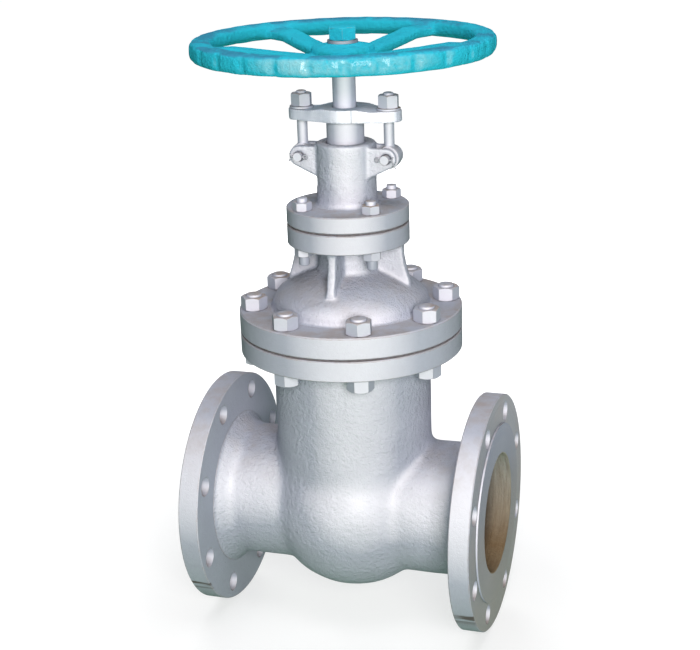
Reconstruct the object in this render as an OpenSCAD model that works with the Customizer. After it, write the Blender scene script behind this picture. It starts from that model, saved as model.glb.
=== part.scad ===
// Flanged gate valve whose stem turns without rising. Millimetres.
// The origin is the middle of the inlet raised face. The pipe runs along X, the stem stands along Z.

/* [Pipe ends] */
// Length from one raised face to the other
face_to_face = 350; // [320:1:380]
// Bore of both ports
bore_d = 140; // [130:1:146]
// Width of the raised faces around the bore
raised_w = 36; // [30:0.5:40]
// Height of the raised faces
raised_h = 2; // [1:0.5:3]
// Thickness of an end flange behind its raised face
flange_t = 24; // [18:0.5:30]
// Diameter of the end flange bolt holes
bolt_hole_d = 23; // [18:0.5:26]
// Clear width between a raised face and the bolt holes
bolt_gap = 2.5; // [1:0.5:5]
// Distance from the middle of the bolt holes to the rim
bolt_edge = 20; // [17:0.5:24]
// Number of bolt holes in an end flange
bolt_count = 8; // [4:4:12]
// Wall of the pipe necks
pipe_wall = 9; // [7:0.5:12]
// Rise of the neck where it meets the flange
hub_rise = 12; // [8:0.5:16]
// Length over which the neck flares out to the flange
hub_len = 24; // [18:1:36]

/* [Body] */
// Reach of the wedge past the bore
wedge_lap = 5; // [4:0.5:6]
// Slope of each wedge face
wedge_slope = 5; // [3:0.5:6]
// Half thickness of the wedge at the pipe axis
wedge_half_t = 25; // [22:0.5:28]
// Clear width between the wedge and the chest
wedge_room = 5; // [3:0.5:7]
// Height of the lug above the round of the wedge
lug_h = 34; // [30:1:40]
// Wall of the lug around the stem nut
lug_wall = 8; // [6:0.5:10]
// Wall of the stem nut around the stem
stem_nut_wall = 10; // [8:0.5:11]
// Height of the stem nut
stem_nut_h = 30; // [24:1:33]
// Radial width of a seat ring
seat_w = 7; // [5:0.5:8]
// Depth of a seat ring in its pocket
seat_t = 10; // [6:0.5:14]
// Wall of the body around a seat ring
seat_wall = 5; // [3:0.5:7]
// Width of the guide ribs in the chest
guide_w = 10; // [6:1:14]
// Height of the guide ribs off the chest wall
guide_h = 8; // [5:0.5:10]
// Clearance between the wedge and the guide ribs
guide_gap = 2; // [1:0.25:3]
// Wall of the chest and of the bulge
chest_wall = 12; // [9:0.5:13]
// Rise of the round bulge above the pipe necks
bulge_rise = 25; // [21:0.5:29]
// Hollow fillet between pipe neck and bulge
neck_blend_r = 20; // [10:1:26]
// Hollow fillet between chest and bulge
chest_blend_r = 60; // [30:5:90]
// Fillet under the body flange
flange_fillet_r = 8; // [4:0.5:10]
// Height of the body flange face above the pipe axis
body_h = 219.5; // [205:0.5:235]
// Reach of the body flange and the bonnet flange past the chest
cover_reach = 37; // [34:0.5:42]
// Thickness of the body flange
body_flange_t = 23.5; // [18:0.5:28]

/* [Bonnet] */
// Thickness of the body gasket
gasket_t = 2.5; // [1.5:0.25:3]
// Step of a gasket in from its flange rims
gasket_step = 2.5; // [1:0.25:4]
// Thickness of the bonnet flange
bonnet_flange_t = 24.7; // [18:0.1:30]
// Step of the dome in from the chest
dome_step = 1; // [0:0.5:4]
// Fillet at the foot of the dome
dome_fillet_r = 4; // [2:0.5:5]
// Rise of the dome up to the neck
dome_h = 43.3; // [38:0.1:48]
// Wall of the bonnet
bonnet_wall = 9; // [7:0.5:11]
// Height of the bonnet, flange face to neck flange face
bonnet_h = 123; // [112:1:136]
// Wall of the neck around the stem collar
neck_wall = 12; // [10:0.5:15]
// Reach of the neck flange and the box flange past the neck
top_reach = 34; // [30:0.5:38]
// Thickness of the neck flange
neck_flange_t = 22; // [16:0.5:26]
// Thickness of the four ribs
rib_t = 11; // [8:0.5:14]
// Step of the ribs in from the rim of the neck flange
rib_step = 5; // [3:0.5:12]
// Place of the bonnet studs between chest and rim, as a share
stud_place = 0.53; // [0.5:0.01:0.56]
// Number of bonnet studs
bonnet_studs_n = 8; // [6:2:12]
// Diameter of the bonnet studs
bonnet_stud_d = 18; // [16:0.5:19]
// Width across the flats of the bonnet nuts
bonnet_nut_af = 27; // [25:0.5:28]
// Height of the bonnet nuts
bonnet_nut_h = 15.5; // [12:0.5:18]
// Length of the bonnet studs above their nuts
bonnet_stud_end = 3; // [1:0.5:8]
// Depth of the spot faces under the body flange
spot_depth = 0.5; // [0.25:0.25:1.5]

/* [Stuffing box] */
// Thickness of the box gasket
box_gasket_t = 2.4; // [1.5:0.1:3]
// Thickness of the box flange
box_flange_t = 18.2; // [14:0.1:22]
// Height of the box above its flange face
box_h = 90.6; // [86:0.2:100]
// Wall of the box around the packing
box_wall = 12.5; // [11:0.5:15]
// Width of the packing around the stem
packing_w = 8.5; // [7:0.5:10]
// Depth of the packing chamber
chamber_h = 54; // [44:1:60]
// Distance from the middle of the box studs to the rim
box_edge = 13; // [11:0.5:14]
// Number of box studs
box_studs_n = 4; // [4:2:6]
// Diameter of the box studs
box_stud_d = 12; // [10:0.5:13]
// Width across the flats of the box nuts
box_nut_af = 19; // [17:0.5:21]
// Height of the box nuts
box_nut_h = 10; // [8:0.5:12]
// Length of the box studs above the upper nuts
box_stud_end = 5; // [2:0.5:10]
// Length of the box studs below the lower nuts
box_stud_tail = 11; // [4:0.5:14]
// Clear width between the box and the eyes
eye_gap = 4; // [2:0.25:5]
// Radius of the eyes
eye_r = 13; // [11:0.5:15]
// Thickness of the eyes
eye_t = 14; // [12:0.5:14.5]
// Depth of the hinge pins below the mouth of the box
pin_drop = 16.6; // [14:0.1:22]
// Diameter of the hinge pins
pin_d = 10; // [8:0.5:12]
// Reach of the hinge pins past the ears
pin_end = 5; // [4:0.5:8]
// Thickness of each ear plate
ear_t = 8; // [6:0.5:10]
// Gap between the two plates of an ear
ear_gap = 17; // [15.5:0.5:19]
// Radius of the ear ends
ear_r = 12; // [10:0.5:14]
// Fall of the ear feet below the hinge pins
ear_fall = 24.8; // [20:0.2:30]
// Wire of the split pins
split_d = 2.5; // [2:0.1:3]
// Length of the split pin legs
split_leg = 11; // [7:0.5:14]
// Angle by which each split pin leg is bent out
split_lean = 62; // [15:1:75]

/* [Gland] */
// Diameter of the eye bolt shanks
eye_bolt_d = 12; // [10:0.5:13]
// Clear height between box and gland plate
gland_gap = 24; // [16:1:30]
// Thickness of the gland plate at the stem
gland_t = 15; // [13:0.5:18]
// Thickness of the gland plate under the nuts
gland_end_t = 12.5; // [10:0.5:13]
// Reach of the gland plate past the bush
gland_lap = 8.5; // [5:0.5:12]
// Radius of the gland plate ends
gland_end_r = 15; // [13:0.5:17]
// Depth of the gland bush in the box
bush_depth = 14; // [10:1:20]
// Width across the flats of the gland nuts
gland_nut_af = 21.5; // [20:0.5:24]
// Height of the gland nuts
gland_nut_h = 14.5; // [12:0.5:17]
// Thickness of the gland washers
gland_washer_t = 2; // [1.5:0.25:3]
// Length of the eye bolts above their nuts
eye_bolt_end = 3; // [2:0.5:6]

/* [Stem and handwheel] */
// Diameter of the stem
stem_d = 26; // [24:0.5:28]
// Reach of the collar that holds the stem down
collar_w = 11; // [8:0.5:12]
// Height of the collar
collar_h = 14; // [10:0.5:16]
// Length of the stem below the lug
stem_tail = 6; // [4:1:20]
// Outside of the handwheel
wheel_d = 338; // [320:1:356]
// Height of the middle of the rim above the gland plate
wheel_rise = 67.5; // [60:0.5:80]
// Width of the rim, seen from above
rim_w = 25; // [22:0.5:28]
// Height of the rim
rim_h = 22; // [19:0.5:25]
// Rise of the underside of the rim from outside to inside
rim_taper = 6.5; // [2:0.5:8]
// Number of finger grooves around the rim
groove_n = 28; // [16:4:40]
// Depth of the finger grooves
groove_depth = 2.5; // [1:0.25:3]
// Radius of the finger grooves
groove_r = 9; // [5:0.5:10]
// Number of spokes
spoke_n = 5; // [3:1:6]
// Angle of the first spoke
spoke_turn = 67.5; // [0:0.5:72]
// Width of the spokes
spoke_w = 28; // [20:0.5:32]
// Thickness of the spokes
spoke_t = 13; // [10:0.5:14]
// Reach of the webs beside the spokes at the rim
web_w = 9; // [5:0.5:12]
// Depth of the spokes below the middle of the rim
spoke_sink = 1; // [0:0.5:2]
// Length of the flat part of the spokes at the rim
spoke_flat = 22; // [14:1:40]
// Drop of the spokes from the rim to the hub
spoke_drop = 15; // [6:0.5:17]
// Diameter of the wheel hub
hub_wheel_d = 71; // [60:1:80]
// Height of the wheel hub
hub_wheel_h = 28; // [26:0.5:34]
// Height of the hub top above the middle of the rim
hub_rise_z = 3; // [0:0.5:8]
// Width across the flats of the wheel nut
wheel_nut_af = 29; // [27:0.5:34]
// Height of the wheel nut
wheel_nut_h = 14.5; // [11:0.5:18]
// Thickness of the wheel washer
wheel_washer_t = 3; // [2:0.5:4]

/* [Fits] */
// Clearance around studs and bolts in their flange holes
hole_gap = 1; // [0.5:0.25:1.5]
// Clearance between a nut and its thread
thread_gap = 0.15; // [0.1:0.05:0.3]
// Clearance around the stem and between pressed pieces
fit_gap = 0.3; // [0.2:0.05:0.5]
// Clearance of the spot faces around the nuts
spot_gap = 1; // [0.5:0.25:2]

/* [Hidden] */
mid = face_to_face / 2;
raised_r = bore_d / 2 + raised_w;
bolt_circle_r = raised_r + bolt_gap + bolt_hole_d / 2;
flange_r = bolt_circle_r + bolt_edge;
flange_back = mid - raised_h - flange_t;
pipe_r = bore_d / 2 + pipe_wall;
hub_r = pipe_r + hub_rise;
bulge_r = pipe_r + bulge_rise;
seat_r = bore_d / 2 + seat_w;
wedge_r = bore_d / 2 + wedge_lap;
chest_in_r = wedge_r + wedge_room;
chest_r = chest_in_r + chest_wall;
cover_r = chest_r + cover_reach;
dome_r = chest_r - dome_step;
bonnet_stud_r = chest_r + cover_reach * stud_place;
body_flange_z = body_h - body_flange_t;
spot_z = body_flange_z + spot_depth;
bonnet_z = body_h + gasket_t;
dome_z = bonnet_z + bonnet_flange_t;
neck_top = bonnet_z + bonnet_h;
neck_under = neck_top - neck_flange_t;
box_z = neck_top + box_gasket_t;
box_flange_top = box_z + box_flange_t;
box_top = box_z + box_h;
chamber_z = box_top - chamber_h;
pin_z = box_top - pin_drop;
gland_z = box_top + gland_gap;
gland_seat = gland_z + gland_end_t;
bush_z = box_top - bush_depth;
stem_r = stem_d / 2;
stem_hole_r = stem_r + fit_gap;
collar_r = stem_r + collar_w;
collar_z = neck_top - collar_h;
neck_r = collar_r + neck_wall;
top_flange_r = neck_r + top_reach;
rib_top_r = top_flange_r - rib_step;
box_stud_r = top_flange_r - box_edge;
box_bore_r = stem_r + packing_w;
box_r = box_bore_r + box_wall;
eye_x = box_r + eye_gap + eye_r;
pin_reach = ear_gap / 2 + ear_t + pin_end;
gland_mid_r = box_bore_r + gland_lap;
lug_top = wedge_r + lug_h;
stem_nut_r = stem_r + stem_nut_wall;
stem_low = lug_top - lug_h - stem_tail;
rim_mid_r = (wheel_d - rim_w) / 2;
wheel_z = gland_z + gland_t + wheel_rise;
hub_top = wheel_z + hub_rise_z;
hub_low = hub_top - hub_wheel_h;
nut_z = hub_top + wheel_washer_t;
square_w = stem_d * 0.69;
thread_d = square_w * 0.94;

silver = [0.74, 0.76, 0.77];
turquoise = [0.12, 0.68, 0.76];
bare = [0.55, 0.54, 0.52];
bronze = [0.72, 0.55, 0.28];
fibre = [0.25, 0.21, 0.17];

// Points of a circle arc around (x, y), for the profiles
function arc(x, y, r, from, to, steps) =
    [for (i = [0:steps]) let (a = from + (to - from) * i / steps) [x + r * cos(a), y + r * sin(a)]];

// Points of a cubic curve between a and d, drawn towards b and c
function curve(a, b, c, d, steps) =
    [for (i = [0:steps]) let (t = i / steps, s = 1 - t)
        s * s * s * a + 3 * s * s * t * b + 3 * s * t * t * c + t * t * t * d];

// Where a line from p touches the circle at c, on its right-hand side
function touch(p, c, r) =
    let (v = c - p, d = norm(v), a = atan2(v[1], v[0]) - asin(r / d))
    p + sqrt(d * d - r * r) * [cos(a), sin(a)];

function mirrored(points) = [for (i = [len(points) - 1:-1:0]) [points[i][0], -points[i][1]]];

module at_stem() {
    translate([mid, 0, 0]) children();
}

// Turns a profile of [radius, height] about the pipe axis
module turn_pipe(points) {
    rotate([0, 90, 0]) rotate_extrude($fn = 96) polygon(points);
}

// Turns a profile of [radius, height] about the stem axis
module turn_stem(points) {
    rotate_extrude($fn = 96) polygon(points);
}

module around(n, r, first) {
    for (i = [0:n - 1]) {
        rotate([0, 0, first + 360 * i / n]) translate([r, 0, 0]) children();
    }
}

module bonnet_bolting() {
    around(bonnet_studs_n, bonnet_stud_r, 180 / bonnet_studs_n) children();
}

module box_bolting() {
    around(box_studs_n, box_stud_r, 180 / box_studs_n) children();
}

module stud_hole(d, z, h) {
    translate([0, 0, z - 1]) cylinder(d = d + 2 * hole_gap, h = h + 2, $fn = 32);
}

// A hexagon nut with both rims turned off, standing on z
module nut(af, h, d, z) {
    rim = af / 2 / cos(30);
    cut = rim - af / 2 * 0.97;
    drop = cut * tan(30);
    translate([0, 0, z]) difference() {
        intersection() {
            rotate([0, 0, 30]) cylinder(r = rim, h = h, $fn = 6);
            turn_stem([[0, 0], [rim - cut, 0], [rim + 0.5, drop + 0.3], [rim + 0.5, h - drop - 0.3],
                [rim - cut, h], [0, h]]);
        }
        translate([0, 0, -1]) cylinder(d = d + 2 * thread_gap, h = h + 2, $fn = 32);
    }
}

// A stud with rounded ends
module stud(d, from, to) {
    r = d / 2;
    turn_stem([[0, from], [r * 0.8, from], [r, from + r * 0.2], [r, to - r * 0.22],
        [r * 0.94, to - r * 0.09], [r * 0.6, to], [0, to]]);
}

// Half of the outside of the pipe run, flange to bulge
function run_half() =
    let (m_r = pipe_r + neck_blend_r, m_x = sqrt(pow(bulge_r + neck_blend_r, 2) - m_r * m_r),
        a = atan2(m_r, m_x))
    concat(
        [[0, mid], [raised_r, mid], [raised_r, mid - raised_h], [flange_r - 1, mid - raised_h],
            [flange_r, mid - raised_h - 1], [flange_r, flange_back + 1], [flange_r - 1, flange_back],
            [hub_r + 1.5, flange_back]],
        curve([hub_r, flange_back - 1.5], [hub_r - 5, flange_back - hub_len * 0.4],
            [pipe_r, flange_back - hub_len * 0.5], [pipe_r, flange_back - hub_len], 10),
        [for (p = arc(m_x, m_r, neck_blend_r, 270, 180 + a, 8)) [p[1], p[0]]],
        [for (p = arc(0, 0, bulge_r, a + 3, 90, 14)) [p[1], p[0]]]
    );

module pipe_run() {
    half = run_half();
    turn_pipe(concat(half, [for (p = mirrored(half)) if (p[1] < -0.01) p]));
}

// The upright chest with its flange, blended into the bulge
module chest() {
    under = bulge_r - 0.3;
    m_r = chest_r + chest_blend_r;
    m_z = sqrt(pow(under + chest_blend_r, 2) - m_r * m_r);
    a = atan2(m_z, m_r);
    turn_stem(concat(
        [[0, 0], [chest_r * 0.8, 0]],
        arc(m_r, m_z, chest_blend_r, 180 + a, 180, 6),
        arc(chest_r + flange_fillet_r, body_flange_z - flange_fillet_r, flange_fillet_r, 180, 90, 6),
        [[cover_r - 1, body_flange_z], [cover_r, body_flange_z + 1], [cover_r, body_h - 1],
            [cover_r - 1, body_h], [0, body_h]]
    ));
}

module end_holes(x) {
    translate([x, 0, 0]) rotate([0, 90, 0])
        around(bolt_count, bolt_circle_r, 180 / bolt_count)
            translate([0, 0, -flange_t]) cylinder(d = bolt_hole_d, h = 2 * flange_t, $fn = 32);
}

// Places its children on the sloping seat plane of one side, looking out along X
module on_seat(side) {
    rotate([0, side > 0 ? wedge_slope : 180 - wedge_slope, 0]) translate([wedge_half_t, 0, 0])
        rotate([0, 90, 0]) children();
}

// The room inside the body, less the seat bosses and the two guide ribs
module body_inside() {
    difference() {
        union() {
            sphere(r = bulge_r - chest_wall, $fn = 96);
            cylinder(r = chest_in_r, h = body_h + 1, $fn = 96);
        }
        for (side = [-1, 1]) {
            on_seat(side) cylinder(r = seat_r + seat_wall, h = mid, $fn = 96);
            translate([-guide_w / 2, side > 0 ? chest_in_r - guide_h : -bulge_r, -wedge_r])
                cube([guide_w, bulge_r - chest_in_r + guide_h, wedge_r + body_flange_z]);
        }
    }
}

module valve_body() color(silver) at_stem() {
    difference() {
        union() {
            pipe_run();
            chest();
        }
        body_inside();
        rotate([0, 90, 0]) cylinder(d = bore_d, h = face_to_face + 2, center = true, $fn = 96);
        for (side = [-1, 1]) {
            on_seat(side) translate([0, 0, -1]) cylinder(r = seat_r, h = seat_t + 1, $fn = 96);
            end_holes(side * (flange_back + flange_t / 2));
        }
        bonnet_bolting() stud_hole(bonnet_stud_d, body_flange_z, body_flange_t);
        bonnet_bolting() translate([0, 0, spot_z - bonnet_nut_h])
            cylinder(r = bonnet_nut_af / 2 / cos(30) + spot_gap, h = bonnet_nut_h, $fn = 48);
    }
}

// A seat ring, pressed into its sloping pocket
module seat_ring(side) color(bare) at_stem() {
    on_seat(side) difference() {
        cylinder(r = seat_r, h = seat_t, $fn = 96);
        translate([0, 0, -1]) cylinder(d = bore_d, h = seat_t + 2, $fn = 96);
    }
}

module inlet_seat_ring() seat_ring(-1);

module outlet_seat_ring() seat_ring(1);

// The wedge shuts both ports and climbs on the stem when it opens
module wedge() color(bare) at_stem() {
    slot_w = guide_w + 2 * guide_gap;
    slot_y = chest_in_r - guide_h - guide_gap;
    difference() {
        union() {
            intersection() {
                rotate([0, 90, 0]) cylinder(r = wedge_r, h = 4 * wedge_half_t, center = true, $fn = 96);
                between_seats();
            }
            translate([0, 0, wedge_r * 0.8])
                cylinder(r = stem_nut_r + lug_wall, h = lug_top - wedge_r * 0.8, $fn = 64);
        }
        translate([0, 0, -wedge_r / 2]) cylinder(r = stem_r + guide_gap, h = wedge_r + lug_top, $fn = 48);
        translate([0, 0, lug_top - stem_nut_h]) cylinder(r = stem_nut_r, h = stem_nut_h + 1, $fn = 48);
        for (side = [-1, 1]) {
            translate([-slot_w / 2, side > 0 ? slot_y : -slot_y - wedge_r, -wedge_r])
                cube([slot_w, wedge_r, 2 * wedge_r]);
        }
    }
}

// The space between the two sloping faces
module between_seats() {
    reach = wedge_r * 1.2;
    lean = reach * tan(wedge_slope);
    foot = (wedge_half_t - fit_gap) / cos(wedge_slope);
    rotate([90, 0, 0]) translate([0, 0, -reach]) linear_extrude(height = 2 * reach)
        polygon([[-foot + lean, -reach], [foot - lean, -reach],
            [foot + lean, reach], [-foot - lean, reach]]);
}

module stem_nut() color(bronze) at_stem() {
    translate([0, 0, lug_top - stem_nut_h]) difference() {
        cylinder(r = stem_nut_r, h = stem_nut_h, $fn = 48);
        translate([0, 0, -1]) cylinder(r = stem_hole_r, h = stem_nut_h + 2, $fn = 48);
    }
}

// The stem, held by its collar between bonnet and box
module stem() color(silver) at_stem() {
    turn_stem([[0, stem_low], [stem_r - 2, stem_low], [stem_r, stem_low + 2],
        [stem_r, collar_z + fit_gap], [collar_r, collar_z + fit_gap], [collar_r, neck_top],
        [stem_r, neck_top], [stem_r, hub_low], [0, hub_low]]);
    translate([-square_w / 2, -square_w / 2, hub_low - 1]) cube([square_w, square_w, hub_wheel_h - 1]);
    stud(thread_d, hub_top - 6, nut_z + wheel_nut_h - 1);
}

module body_gasket() color(fibre) at_stem() {
    difference() {
        translate([0, 0, body_h]) cylinder(r = cover_r - gasket_step, h = gasket_t, $fn = 96);
        translate([0, 0, body_h - 1]) cylinder(r = chest_in_r, h = gasket_t + 2, $fn = 96);
        bonnet_bolting() stud_hole(bonnet_stud_d, body_h, gasket_t);
    }
}

// One rib in its own plane, standing on the dome under the neck flange
module rib() {
    foot_r = dome_r * 0.82;
    foot_z = dome_z + dome_h * 0.66;
    in_r = neck_r * 0.8;
    h = neck_under - foot_z;
    rotate([90, 0, 0]) translate([0, 0, -rib_t / 2]) linear_extrude(height = rib_t)
        polygon(concat([[in_r, neck_under + 2], [rib_top_r, neck_under + 2]],
            curve([rib_top_r, neck_under], [rib_top_r, neck_under - h * 0.5],
                [(rib_top_r + foot_r) / 2, foot_z + h * 0.31], [foot_r, foot_z], 10),
            [[foot_r - bonnet_wall, foot_z - bonnet_wall * 0.6], [in_r, dome_z + dome_h - bonnet_wall]]));
}

// The room under the dome
module bonnet_inside() {
    top = dome_z + dome_h - bonnet_wall;
    turn_stem(concat([[0, bonnet_z - 1], [chest_in_r, bonnet_z - 1]],
        curve([chest_in_r, dome_z - bonnet_wall * 0.7], [chest_in_r, dome_z + dome_h * 0.2],
            [chest_in_r * 0.84, dome_z + dome_h * 0.42], [neck_r * 0.95, top], 10),
        [[0, top]]));
}

module bonnet() color(silver) at_stem() {
    difference() {
        union() {
            turn_stem(concat(
                [[0, bonnet_z], [cover_r - 1, bonnet_z], [cover_r, bonnet_z + 1],
                    [cover_r, dome_z - 1.5], [cover_r - 1.5, dome_z]],
                arc(dome_r + dome_fillet_r, dome_z + dome_fillet_r, dome_fillet_r, 270, 190, 4),
                curve([dome_r, dome_z + dome_fillet_r], [dome_r, dome_z + dome_h * 0.36],
                    [dome_r * 0.857, dome_z + dome_h * 0.63], [neck_r + 2, dome_z + dome_h], 14),
                [[neck_r, dome_z + dome_h + 4], [neck_r, neck_under - 4],
                    [neck_r + 4, neck_under], [top_flange_r - 1, neck_under],
                    [top_flange_r, neck_under + 1], [top_flange_r, neck_top - 1],
                    [top_flange_r - 1, neck_top], [0, neck_top]]
            ));
            for (i = [0:3]) {
                rotate([0, 0, 90 * i]) rib();
            }
        }
        bonnet_inside();
        translate([0, 0, bonnet_z]) cylinder(r = stem_hole_r, h = bonnet_h + 1, $fn = 48);
        translate([0, 0, collar_z]) cylinder(r = collar_r + fit_gap, h = collar_h + 1, $fn = 64);
        bonnet_bolting() stud_hole(bonnet_stud_d, bonnet_z, bonnet_flange_t);
        box_bolting() stud_hole(box_stud_d, neck_under, neck_flange_t);
    }
}

module bonnet_studs() color(silver) at_stem() {
    bonnet_bolting()
        stud(bonnet_stud_d, spot_z - bonnet_nut_h, dome_z + bonnet_nut_h + bonnet_stud_end);
}

module bonnet_upper_nuts() color(silver) at_stem() {
    bonnet_bolting() rotate([0, 0, 20]) nut(bonnet_nut_af, bonnet_nut_h, bonnet_stud_d, dome_z);
}

module bonnet_lower_nuts() color(silver) at_stem() {
    bonnet_bolting() nut(bonnet_nut_af, bonnet_nut_h, bonnet_stud_d, spot_z - bonnet_nut_h);
}

module box_gasket() color(fibre) at_stem() {
    difference() {
        translate([0, 0, neck_top])
            cylinder(r = top_flange_r - gasket_step, h = box_gasket_t, $fn = 96);
        translate([0, 0, neck_top - 1])
            cylinder(r = collar_r + fit_gap, h = box_gasket_t + 2, $fn = 64);
        box_bolting() stud_hole(box_stud_d, neck_top, box_gasket_t);
    }
}

// One ear plate, a web that runs out to a round end around the pin
module ear_plate() {
    in_r = box_r * 0.77;
    low = [in_r, pin_z - ear_fall];
    t = touch(low, [eye_x, pin_z], ear_r);
    from = atan2(t[1] - pin_z, t[0] - eye_x);
    rotate([90, 0, 0]) linear_extrude(height = ear_t)
        difference() {
            polygon(concat([low], arc(eye_x, pin_z, ear_r, from, 90, 14), [[in_r, pin_z + ear_r]]));
            translate([eye_x, pin_z]) circle(d = pin_d + 2 * fit_gap, $fn = 32);
        }
}

module stuffing_box() color(silver) at_stem() {
    difference() {
        union() {
            turn_stem([[0, box_z], [top_flange_r - 1, box_z], [top_flange_r, box_z + 1],
                [top_flange_r, box_flange_top - 1], [top_flange_r - 1, box_flange_top],
                [box_r + 5, box_flange_top], [box_r + 1.5, box_flange_top + 1.5],
                [box_r, box_flange_top + 5], [box_r, box_top - 2], [box_r - 2, box_top], [0, box_top]]);
            for (side = [0, 180], y = [-ear_gap / 2, ear_gap / 2 + ear_t]) {
                rotate([0, 0, side]) translate([0, y, 0]) ear_plate();
            }
        }
        translate([0, 0, box_z - 1]) cylinder(r = stem_hole_r, h = box_h, $fn = 48);
        turn_stem([[0, chamber_z], [box_bore_r, chamber_z], [box_bore_r, box_top - 3],
            [box_bore_r + 4, box_top + 1], [0, box_top + 1]]);
        box_bolting() stud_hole(box_stud_d, box_z, box_flange_t);
    }
}

module box_studs() color(silver) at_stem() {
    box_bolting()
        stud(box_stud_d, neck_under - box_nut_h - box_stud_tail,
            box_flange_top + box_nut_h + box_stud_end);
}

module box_upper_nuts() color(silver) at_stem() {
    box_bolting() nut(box_nut_af, box_nut_h, box_stud_d, box_flange_top);
}

module box_lower_nuts() color(silver) at_stem() {
    box_bolting() nut(box_nut_af, box_nut_h, box_stud_d, neck_under - box_nut_h);
}

module packing() color(fibre) at_stem() {
    translate([0, 0, chamber_z]) difference() {
        cylinder(r = box_bore_r - 0.1, h = bush_z - chamber_z, $fn = 64);
        translate([0, 0, -1]) cylinder(r = stem_hole_r, h = chamber_h, $fn = 48);
    }
}

module gland_bush() color(silver) at_stem() {
    translate([0, 0, bush_z]) difference() {
        cylinder(r = box_bore_r - fit_gap, h = gland_z - bush_z, $fn = 64);
        translate([0, 0, -1]) cylinder(r = stem_hole_r + fit_gap, h = gland_z - bush_z + 2, $fn = 48);
    }
}

// The gland plate, round at the stem and at both ends, lower under the nuts
module gland_plate() color(silver) at_stem() {
    a = acos((gland_mid_r - gland_end_r) / eye_x);
    side = concat(arc(eye_x, 0, gland_end_r, 0, a, 8), arc(0, 0, gland_mid_r, a, 90, 5));
    half = concat(side, [for (i = [len(side) - 2:-1:0]) [-side[i][0], side[i][1]]]);
    end_x = eye_x + gland_end_r + 1;
    pad_x = eye_x - gland_end_r;
    crown_x = gland_mid_r * 0.75;
    difference() {
        intersection() {
            translate([0, 0, gland_z]) linear_extrude(height = gland_t)
                polygon(concat(half, [for (i = [len(half) - 2:-1:1]) [half[i][0], -half[i][1]]]));
            rotate([90, 0, 0]) translate([0, 0, -gland_mid_r - 1])
                linear_extrude(height = 2 * gland_mid_r + 2)
                    polygon([[-end_x, gland_z - 1], [end_x, gland_z - 1], [end_x, gland_seat],
                        [pad_x, gland_seat], [crown_x, gland_z + gland_t],
                        [-crown_x, gland_z + gland_t], [-pad_x, gland_seat], [-end_x, gland_seat]]);
        }
        translate([0, 0, gland_z - 1]) cylinder(r = stem_hole_r + fit_gap, h = gland_t + 2, $fn = 48);
        for (side = [-1, 1]) {
            translate([side * eye_x, 0, 0]) stud_hole(eye_bolt_d, gland_z, gland_t);
        }
    }
}

module eye_bolts() color(silver) at_stem() {
    for (side = [-1, 1]) {
        translate([side * eye_x, 0, 0]) difference() {
            union() {
                translate([0, 0, pin_z]) rotate([90, 0, 0])
                    cylinder(r = eye_r, h = eye_t, center = true, $fn = 48);
                stud(eye_bolt_d, pin_z, gland_seat + gland_washer_t + gland_nut_h + eye_bolt_end);
            }
            translate([0, 0, pin_z]) rotate([90, 0, 0])
                cylinder(d = pin_d + 2 * fit_gap, h = 2 * eye_t, center = true, $fn = 32);
        }
    }
}

module hinge_pins() color(silver) at_stem() {
    for (side = [-1, 1]) {
        translate([side * eye_x, 0, pin_z]) difference() {
            rotate([90, 0, 0]) cylinder(d = pin_d, h = 2 * pin_reach, center = true, $fn = 32);
            translate([-pin_d, -pin_reach + pin_end / 2, 0]) rotate([0, 90, 0])
                cylinder(d = split_d + fit_gap, h = 2 * pin_d, $fn = 16);
        }
    }
}

// Split pins across the front ends of the hinge pins, with the spread legs outside
module split_pins() color(silver) at_stem() {
    for (side = [-1, 1]) {
        translate([side * eye_x, -pin_reach + pin_end / 2, pin_z]) rotate([0, -90 * side, 0]) {
            translate([0, 0, -pin_d / 2 - split_d])
                cylinder(d = split_d, h = pin_d + 1.5 * split_d, $fn = 16);
            for (lean = [-split_lean, split_lean]) {
                translate([0, 0, -pin_d / 2 - split_d]) rotate([0, lean, 0])
                    translate([0, 0, -split_leg]) cylinder(d = split_d * 0.6, h = split_leg, $fn = 16);
            }
            translate([0, 0, pin_d / 2 + split_d * 1.5]) rotate([90, 0, 0]) rotate_extrude($fn = 48)
                translate([split_d * 0.9, 0]) circle(d = split_d * 0.8, $fn = 16);
        }
    }
}

module gland_washers() color(silver) at_stem() {
    for (side = [-1, 1]) {
        translate([side * eye_x, 0, 0]) difference() {
            translate([0, 0, gland_seat]) cylinder(r = gland_end_r * 0.9, h = gland_washer_t, $fn = 48);
            stud_hole(eye_bolt_d, gland_seat, gland_washer_t);
        }
    }
}

module gland_nuts() color(silver) at_stem() {
    for (side = [-1, 1]) {
        translate([side * eye_x, 0, 0]) rotate([0, 0, 10])
            nut(gland_nut_af, gland_nut_h, eye_bolt_d, gland_seat + gland_washer_t);
    }
}

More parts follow.
